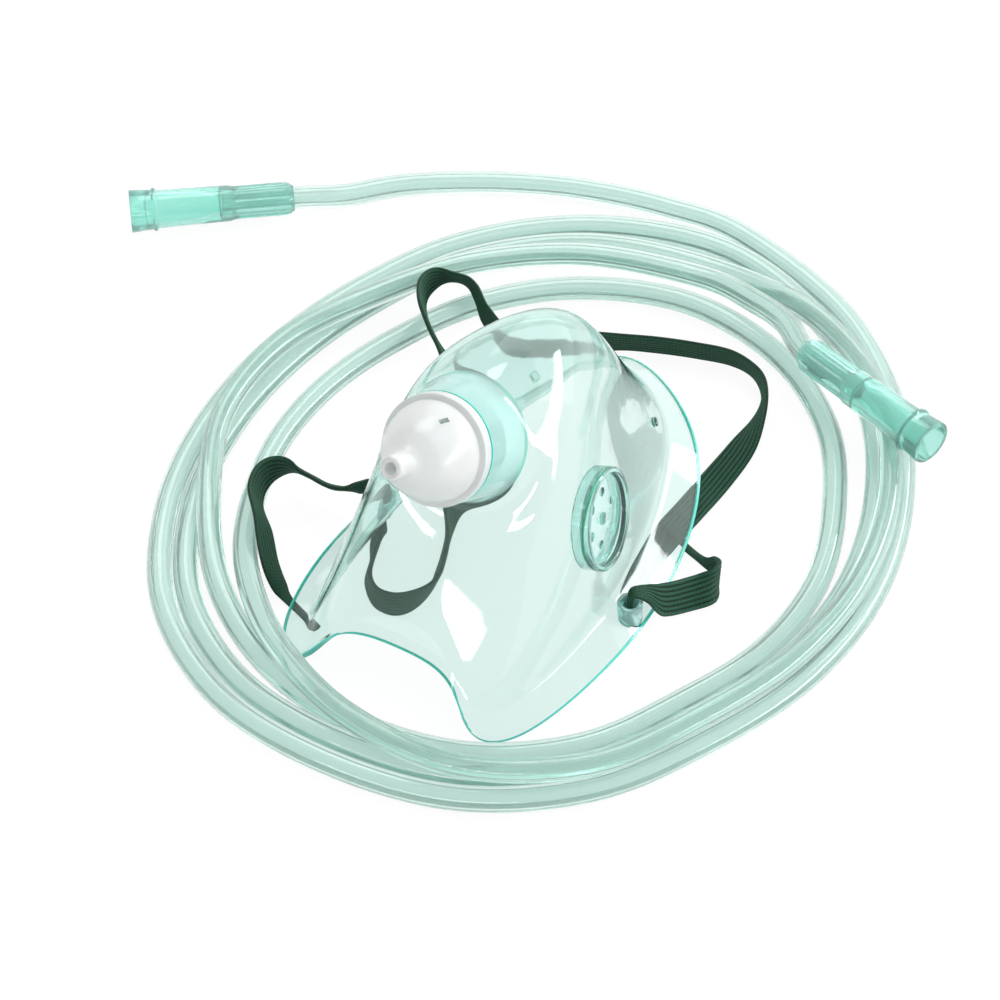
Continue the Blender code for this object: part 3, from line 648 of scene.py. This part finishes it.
surface = BVHTree.FromPolygons(
    [vertex.co for vertex in shell_mesh.vertices],
    [tuple(face.vertices) for face in shell_mesh.polygons],
)
cheek, cheek_out, _, _ = surface.ray_cast(at(FAR, VENT_BACK, VENT_HEIGHT), Vector((-1, 0, 0)))
top, _, _, _ = surface.ray_cast(at(EYELET_OUT, EYELET_BACK, FAR), Vector((0, 0, -1)))
pip_foot, pip_out, _, _ = surface.ray_cast(at(*PIP_SPOT, FAR), Vector((0, 0, -1)))
vent = VENT_WIDE / 2
inner = vent - VENT_RIM
windows = []
additions = []
for side in (1, -1):
    across = Vector((side, 1, 1))
    out = cheek_out * across
    place = cheek * across
    roundel = turned("roundel", [
        (0, -0.8), (0.9, -0.85), (1.4, -1.1), (1.5, -1.8), (inner - 0.9, -1.8), (inner - 0.2, -1.6),
        (inner, -1.2), (inner, 0.0), (inner + 0.25, 0.22), (vent - 0.35, 0.22), (vent, -0.1),
        (vent, -4.8), (inner, -4.8), (inner, -3.0), (0, -3.0),
    ], 96, closed=False, soften=0)
    holes = []
    for number in range(VENT_HOLES):
        turn = math.tau * number / VENT_HOLES
        hole_place = Vector((math.cos(turn), math.sin(turn), 0)) * inner * HOLE_RING * MM
        hole = cylinder(HOLE_RADIUS, 6, 24)
        hole.transform(Matrix.Translation(hole_place))
        holes.append(hole)
    roundel = combined(roundel, joined("holes", holes), "DIFFERENCE")
    tower = turned("tower", EYELET, 48, soften=0.25)
    for face in tower.polygons:
        face.material_index = COLLAR_FINISH
    for face in roundel.polygons:
        face.material_index = VENT_FINISH
    additions.append(stood(roundel, place, out))
    windows.append(stood(cylinder(vent - VENT_RIM / 2, 18, 96), place, out))
    foot = Vector((top.x * side, top.y, top.z))
    additions.append(stood(tower, foot, Vector((0, 0, 1))))
    windows.append(stood(cylinder(EYELET_WINDOW, 12, 40), foot, Vector((0, 0, 1))))
    pip = turned("pip", PIP, 24, closed=False, soften=0)
    additions.append(stood(pip, pip_foot * across, pip_out * across))
shell_mesh = combined(shell_mesh, joined("windows", windows), "DIFFERENCE")
shell_mesh = combined(shell_mesh, joined("additions", additions), "UNION")
for face in shell_mesh.polygons:
    away = (face.center - at(*NECK_FOOT)) / MM
    along = away.dot(NECK_AXIS)
    near_neck = (away - NECK_AXIS * along).length < NECK_WIDE * COLLAR_REACH
    if along > COLLAR_STARTS and near_neck and face.material_index == 0:
        face.material_index = COLLAR_FINISH
mask = add_piece("mask_shell", shell_mesh, "mask_body", sharp=38)

# %% [markdown]
# ## The inlet adapter
# A cap of stiffer, milky plastic sits on the neck. Its sleeve plugs into the neck and its rim covers
# the neck's end, each 0.3 mm clear of it. Its dome carries the nozzle that the tube pushes onto. One
# spin makes all of it, and a small window is then cut in the dome, where air is drawn in.

# %% The adapter
SEAT_GAP = 0.3
CAP = 16.5
SLOT_SIZE = (2.4, 1.2, 6)
SLOT_TURN = math.radians(-18)
rim = NECK_WIDE / 2
sleeve = rim - WALL - SEAT_GAP
step_out = rim - 1.4
adapter_section = [
    (1.4, CAP + 6.3), (2.2, CAP + 6.5), (2.6, CAP + 6.1), (2.8, CAP + 1.8), (3.3, CAP + 0.5),
    (4.4, CAP - 0.7),
    (step_out * 0.57, CAP * 0.86), (step_out * 0.68, CAP * 0.77), (step_out * 0.78, CAP * 0.65),
    (step_out * 0.87, CAP * 0.53), (step_out * 0.94, CAP * 0.40), (step_out * 0.98, CAP * 0.3),
    (step_out, 4.4), (step_out, 3.3), (rim - 0.2, 3.0), (rim, 2.8), (rim, 0), (sleeve, 0),
    (sleeve, -9.0), (sleeve - 1.2, -9.0), (sleeve - 1.2, 3.6), (step_out * 0.93 - 1.44, CAP * 0.36),
    (step_out * 0.78 - 1.2, CAP * 0.58), (step_out * 0.57 - 0.96, CAP * 0.78), (1.9, CAP * 0.86),
    (1.3, CAP * 0.92),
]
cap = turned("cap", adapter_section, 96, soften=0.15)
slot = bmesh.new()
bmesh.ops.create_cube(slot, size=MM)
bmesh.ops.scale(slot, vec=SLOT_SIZE, verts=slot.verts)
slot_mesh = bpy.data.meshes.new("slot")
slot.to_mesh(slot_mesh)
slot.free()
neck_end = at(*(NECK_FOOT + NECK_AXIS * (NECK_LONG + SEAT_GAP))) + Vector((0, 0, lift))
upward = Vector((0, math.sin(NECK_TILT), math.cos(NECK_TILT)))
upward.rotate(Matrix.Rotation(SLOT_TURN, 3, NECK_AXIS))
slot_place = neck_end + (upward * step_out * 0.84 + NECK_AXIS * CAP * 0.5) * MM
stood(slot_mesh, slot_place, (upward * 0.8 + NECK_AXIS * 0.6).normalized())
cap = combined(stood(cap, neck_end, NECK_AXIS), slot_mesh, "DIFFERENCE")
adapter = add_piece("inlet_cap", cap, "inlet_adapter", sharp=50)

# %% [markdown]
# ## The connectors
# A funnel connector sits on each end of the tube. Its near part is a fluted grip, and the rest widens
# to a mouth with a thin bead round it, so that it stretches over a spigot. The flutes are pressed
# into the turned skin by moving its corners inwards, in ten waves round the grip.

# %% The connectors
CONNECTOR_LONG = 42.5
MOUTH = 5.15
GRIP = 4.2
FLUTES = 10
FLUTE_DEPTH = 0.42
SHOULDER_AT = CONNECTOR_LONG - 26
BEAD_AT = CONNECTOR_LONG - 6.4
STOP = TUBE_INSERTION + SEAT_GAP
connector_section = [
    (4.4, CONNECTOR_LONG), (MOUTH + 0.3, CONNECTOR_LONG), (MOUTH + 0.4, CONNECTOR_LONG - 0.3),
    (MOUTH, BEAD_AT + 0.8), (MOUTH + 0.5, BEAD_AT + 0.4), (MOUTH + 0.5, BEAD_AT - 0.2),
    (MOUTH - 0.2, BEAD_AT - 0.7), (GRIP + 0.5, SHOULDER_AT + 0.2), (GRIP + 0.3, SHOULDER_AT - 0.4),
]
connector_section += [(GRIP + 0.15, SHOULDER_AT - 1 - 1.2 * k) for k in range(12)]
connector_section += [
    (GRIP - 0.15, 1.0), (GRIP - 0.8, 0.2), (3.6, 0), (3.3, 0.2), (3.3, STOP), (2.2, STOP + 0.4),
    (2.2, STOP + 2.2), (3.2, STOP + 5),
]


def flute(corner):
    """Presses ten lengthwise grooves into the outside of the grip."""
    reach = math.hypot(corner.co.x, corner.co.y) / MM
    height = corner.co.z / MM
    if reach > 3.9 and 0.3 < height < SHOULDER_AT:
        wave = math.cos(FLUTES * math.atan2(corner.co.y, corner.co.x))
        depth = FLUTE_DEPTH * max(0, 0.35 - wave) * min(1, (SHOULDER_AT - height) / 1.5)
        corner.co.x *= 1 - depth / reach
        corner.co.y *= 1 - depth / reach


connectors = []
for name, mouth, grip in (
    ("supply_connector", SUPPLY_MOUTH, SUPPLY_GRIP), ("patient_connector", PATIENT_MOUTH, PATIENT_GRIP),
):
    form = turned(name, connector_section, 120, soften=0.1, shape=flute)
    stood(form, at(*grip), (Vector(mouth) - Vector(grip)).normalized())
    stands_for = name.replace("_connector", "_end_connector")
    connectors.append(add_piece(name, form, stands_for, sharp=50))

# %% [markdown]
# ## Materials
# Every colour is written as it would be picked on a screen, and one function turns it to the linear
# value that a shader works with. One more function adds a node with its settings and its links.

# %% Colours and nodes
def colour(code):
    """A hex colour as it looks on screen, turned to linear light."""
    channels = [int(code[k:k + 2], 16) / 255 for k in (1, 3, 5)]
    return (*[c / 12.92 if c <= 0.04045 else ((c + 0.055) / 1.055) ** 2.4 for c in channels], 1)


def add_node(material, kind, settings=None, inputs=None):
    """A node with its own settings, and its inputs as values or as links from other nodes."""
    node = material.node_tree.nodes.new(kind)
    for name, value in (settings or {}).items():
        setattr(node, name, value)
    for name, value in (inputs or {}).items():
        if isinstance(value, bpy.types.NodeSocket):
            material.node_tree.links.new(value, node.inputs[name])
        else:
            node.inputs[name].default_value = value
    return node


def new_material(name):
    """An empty node material and its output node."""
    material = bpy.data.materials.new(name)
    material.use_nodes = True
    material.node_tree.nodes.clear()
    return material, add_node(material, "ShaderNodeOutputMaterial")


# %% [markdown]
# ### Clear soft PVC
# Vinyl for masks and tubes is almost clear, with a blue-green tint. Absorption inside the volume
# tints a long way through it more than a thin wall. Part of the surface scatters light, which gives
# the soft milky veil. The wall of the mask also waves a little, over about 6 mm, as a thin moulding
# does, and the mould has polished it. The tube has no absorption: light crosses its two skins so
# often, in turn after turn of the coil, that its skin colour is tint enough and renders sooner.

# %% Clear PVC
RIPPLE_LONG = 0.006


def clear_plastic(name, skin, tint, per_metre, clear, rough, wave=0.0):
    """A clear plastic: skin is its surface colour, tint is what its depth lets through, if any."""
    material, output = new_material(name)
    shader = add_node(material, "ShaderNodeBsdfPrincipled", None, {
        "Base Color": colour(skin), "Roughness": rough, "IOR": 1.53, "Transmission Weight": clear,
    })
    if wave:
        place = add_node(material, "ShaderNodeTexCoord")
        ripple = add_node(material, "ShaderNodeTexNoise", None, {
            "Vector": place.outputs["Object"], "Scale": 1 / RIPPLE_LONG, "Detail": 1.5, "Roughness": 0.4,
        })
        bump = add_node(material, "ShaderNodeBump", None, {
            "Strength": 0.5, "Distance": wave * MM, "Height": ripple.outputs["Fac"],
        })
        material.node_tree.links.new(bump.outputs["Normal"], shader.inputs["Normal"])
    material.node_tree.links.new(shader.outputs["BSDF"], output.inputs["Surface"])
    if tint:
        depth = add_node(material, "ShaderNodeVolumeAbsorption", None, {
            "Color": colour(tint), "Density": per_metre,
        })
        material.node_tree.links.new(depth.outputs["Volume"], output.inputs["Volume"])
    return material


# Polished soft vinyl: nearly clear, with sharp highlights
mask_pvc = clear_plastic("moulded_clear_pvc", "#EDF5F3", "#00F4E0", 86, 0.98, 0.03, wave=0.05)
# A knife-cut edge: it scatters most of its light, and its teal line is a painted glow of light that runs
# inside the sheet
edge_glow_pvc = clear_plastic("cut_edge_painted_glow_pvc", "#62EBDB", "#00F4E0", 60, 0.25, 0.12)
# The neck and the eyelets: a pale, milky aqua
collar_pvc = clear_plastic("thick_collar_pvc", "#D8FCF8", "#00F4EA", 60, 0.66, 0.10)
# The vents: less clear than the wall, clearer than the neck
vent_pvc = clear_plastic("moulded_vent_pvc", "#E2FCF8", "#00F4E6", 60, 0.86, 0.08)
# Extruded tube: duller than the wall of the mask, so its highlights are softer
tube_pvc = clear_plastic("extruded_tube_pvc", "#E7FAF5", None, 0, 0.86, 0.09)
# Moulded connectors: tinted more strongly than the tube
connector_pvc = clear_plastic("moulded_green_pvc", "#CFFBF3", "#00F4E0", 70, 0.82, 0.07)
# The cap's stiffer plastic, taken as polyethylene: milky white, with a soft gloss
cap_plastic = clear_plastic("milky_polyethylene", "#FDFEFE", "#D0FFFC", 8, 0.45, 0.22)
while len(mask.data.materials) < len(FINISHES):
    mask.data.materials.append(None)
for index, plastic in enumerate((mask_pvc, edge_glow_pvc, collar_pvc, vent_pvc)):
    mask.data.materials[index] = plastic
for index, finish in enumerate(FINISHES):
    print(finish, sum(face.material_index == index for face in mask.data.polygons), "faces")
tube.data.materials.append(tube_pvc)
adapter.data.materials.append(cap_plastic)
for connector in connectors:
    connector.data.materials.append(connector_pvc)

# %% [markdown]
# ### Knitted elastic
# The band is taken as dark green polyester yarn, knitted over rubber. Its stitches are drawn about
# 0.9 mm long, in columns along each rib, on the band's own unrolled UV map: one direction is its
# length, the other goes round its section. The colour is also painted darker in the groove between
# ribs and lighter on each rib's crest, as painted shade and painted light.

# %% Elastic
STITCH_LONG = 0.9
elastic, output = new_material("knitted_green_elastic")
unrolled = add_node(elastic, "ShaderNodeUVMap", {"uv_map": strap.data.uv_layers[0].name})
strap_long = length_of(strap_path) / MM
in_stitches = add_node(elastic, "ShaderNodeMapping", None, {
    "Vector": unrolled.outputs["UV"], "Scale": (strap_long / STITCH_LONG, RIBS * 2.0, 1.0),
})
apart = add_node(elastic, "ShaderNodeSeparateXYZ", None, {"Vector": in_stitches.outputs["Vector"]})
rows = add_node(elastic, "ShaderNodeMath", {"operation": "PINGPONG"}, {0: apart.outputs["X"], 1: 0.5})
# Painted shade and light across the ribs: 0 in each groove, 0.5 on each crest
column = add_node(elastic, "ShaderNodeMath", {"operation": "PINGPONG"}, {0: apart.outputs["Y"], 1: 0.5})
stitch_and_rib_shade = add_node(elastic, "ShaderNodeMath", {"operation": "MULTIPLY_ADD"}, {
    0: rows.outputs[0], 1: 0.35, 2: column.outputs[0],
})
fuzz = add_node(elastic, "ShaderNodeTexNoise", None, {
    "Vector": in_stitches.outputs["Vector"], "Scale": 3.0, "Detail": 3.0,
})
yarn_and_rib_shade = add_node(elastic, "ShaderNodeMath", {"operation": "MULTIPLY_ADD"}, {
    0: fuzz.outputs["Fac"], 1: 0.5, 2: stitch_and_rib_shade.outputs[0],
})
# The ramp's dark end falls in the rib grooves and its light end on the crests: painted shade over the knit's
# own colour
shade = add_node(elastic, "ShaderNodeValToRGB", None, {"Fac": yarn_and_rib_shade.outputs[0]})
shade.color_ramp.elements[0].color = colour("#011A0F")
shade.color_ramp.elements[0].position = 0.28
shade.color_ramp.elements[1].color = colour("#0F583C")
shade.color_ramp.elements[1].position = 0.9
knit = add_node(elastic, "ShaderNodeBump", None, {
    "Strength": 0.6, "Distance": 0.12 * MM, "Height": yarn_and_rib_shade.outputs[0],
})
cloth = add_node(elastic, "ShaderNodeBsdfPrincipled", None, {
    "Base Color": shade.outputs["Color"], "Roughness": 0.7, "Sheen Weight": 0.12,
    "Sheen Roughness": 0.4, "Sheen Tint": colour("#4FA58C"), "Normal": knit.outputs["Normal"],
})
elastic.node_tree.links.new(cloth.outputs["BSDF"], output.inputs["Surface"])
strap.data.materials.append(elastic)

# %% [markdown]
# ## Table and light
# The photograph looks like one from a light tent: white all round, with soft boxes. The table keeps a
# faint shadow and still reads as white, because part of its colour is given out rather than lit.
# Glass and gloss see that white too.

# %% Table
OWN_LIGHT = 0.88
TABLE_HALF = 1.5
table_white, output = new_material("white_card")
seen = add_node(table_white, "ShaderNodeLightPath")
direct = add_node(table_white, "ShaderNodeMath", {"operation": "MAXIMUM"}, {
    0: seen.outputs["Is Camera Ray"], 1: seen.outputs["Is Glossy Ray"],
})
straight = add_node(table_white, "ShaderNodeMath", {"operation": "MAXIMUM"}, {
    0: direct.outputs[0], 1: seen.outputs["Is Transmission Ray"],
})
share = add_node(table_white, "ShaderNodeMath", {"operation": "MULTIPLY"}, {
    0: straight.outputs[0], 1: OWN_LIGHT,
})
card = add_node(table_white, "ShaderNodeBsdfDiffuse", None, {"Color": colour("#FCFCFC")})
given = add_node(table_white, "ShaderNodeEmission", None, {"Color": (1, 1, 1, 1), "Strength": 1.05})
mixed = add_node(table_white, "ShaderNodeMixShader", None, {
    0: share.outputs[0], 1: card.outputs["BSDF"], 2: given.outputs["Emission"],
})
table_white.node_tree.links.new(mixed.outputs[0], output.inputs["Surface"])
table_mesh = bpy.data.meshes.new("table")
table_bm = bmesh.new()
bmesh.ops.create_grid(table_bm, x_segments=1, y_segments=1, size=TABLE_HALF)
table_bm.to_mesh(table_mesh)
table_bm.free()
table_mesh.materials.append(table_white)
table = bpy.data.objects.new("table", table_mesh)
bpy.context.scene.collection.objects.link(table)
table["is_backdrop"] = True

# %% [markdown]
# What is seen straight, or through clear plastic, finds an even white tent. What is mirrored or lit
# finds a tent that is darker towards the chin than at the back, so that the front wall of the mask
# mirrors less and the strap shows through it. Two narrow strips of light, to the right and in front,
# and two soft boxes, above and behind, stand round it.

# %% Tent and soft boxes
LAMP_AIM = (0, 0, 0.03)
tent = bpy.data.worlds.new("light_tent")
bpy.context.scene.world = tent
tent.use_nodes = True
tent.node_tree.nodes.clear()
sky_output = add_node(tent, "ShaderNodeOutputWorld")
seen = add_node(tent, "ShaderNodeLightPath")
straight = add_node(tent, "ShaderNodeMath", {"operation": "MAXIMUM"}, {
    0: seen.outputs["Is Camera Ray"], 1: seen.outputs["Is Transmission Ray"],
})
towards = add_node(tent, "ShaderNodeTexCoord")
sides = add_node(tent, "ShaderNodeSeparateXYZ", None, {0: towards.outputs["Generated"]})
wall = add_node(tent, "ShaderNodeMapRange", None, {
    "Value": sides.outputs["Y"], "From Min": -0.9, "From Max": 0.3, "To Min": 0.3, "To Max": 0.95,
})
level = add_node(tent, "ShaderNodeMath", {"operation": "MAXIMUM"}, {
    0: straight.outputs[0], 1: wall.outputs[0],
})
sky = add_node(tent, "ShaderNodeBackground", None, {
    "Color": (1, 1, 1, 1), "Strength": level.outputs[0],
})
tent.node_tree.links.new(sky.outputs["Background"], sky_output.inputs["Surface"])


def soft_box(name, place, size, power):
    """A flat lamp that faces the mask, and shows as a white patch in the plastic."""
    lamp = bpy.data.lights.new(name, "AREA")
    lamp.shape = "RECTANGLE"
    lamp.size, lamp.size_y = size
    lamp.energy = power
    item = bpy.data.objects.new(name, lamp)
    bpy.context.scene.collection.objects.link(item)
    item.location = place
    item.rotation_euler = (Vector(place) - Vector(LAMP_AIM)).to_track_quat("Z", "Y").to_euler()
    return item


def strip_light(name, start, end, wide, power):
    """A long soft box between two places, facing the mask."""
    start, end = Vector(start), Vector(end)
    middle = (start + end) / 2
    inwards = (Vector(LAMP_AIM) - middle).normalized()
    along = (end - start).normalized()
    item = soft_box(name, middle, (wide, (end - start).length), power)
    basis = Matrix((along.cross(-inwards), along, -inwards)).transposed()
    item.rotation_euler = basis.to_euler()


strip_light("strip_right", (1.0, -0.1, 0.12), (0.25, 0.9, 0.45), 0.10, 4.0)
strip_light("strip_front", (-0.33, -0.9, 0.39), (0.55, -0.75, 0.26), 0.045, 1.4)
soft_box("soft_box_high", (-0.3, 0.45, 0.9), (0.5, 0.5), 2.5)
soft_box("soft_box_back", (0.1, 1.1, 0.42), (1.8, 0.8), 3.0)

# %% [markdown]
# The length of the tube's and the strap's drawn routes is worked out once more, and the size of the
# dressed model is printed in millimetres.

# %% Lengths and size
length_of(tube_route)
length_of(strap_path)
low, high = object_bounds()
print("scene box", [round(v / MM, 1) for v in (*low, *high)], "mm")
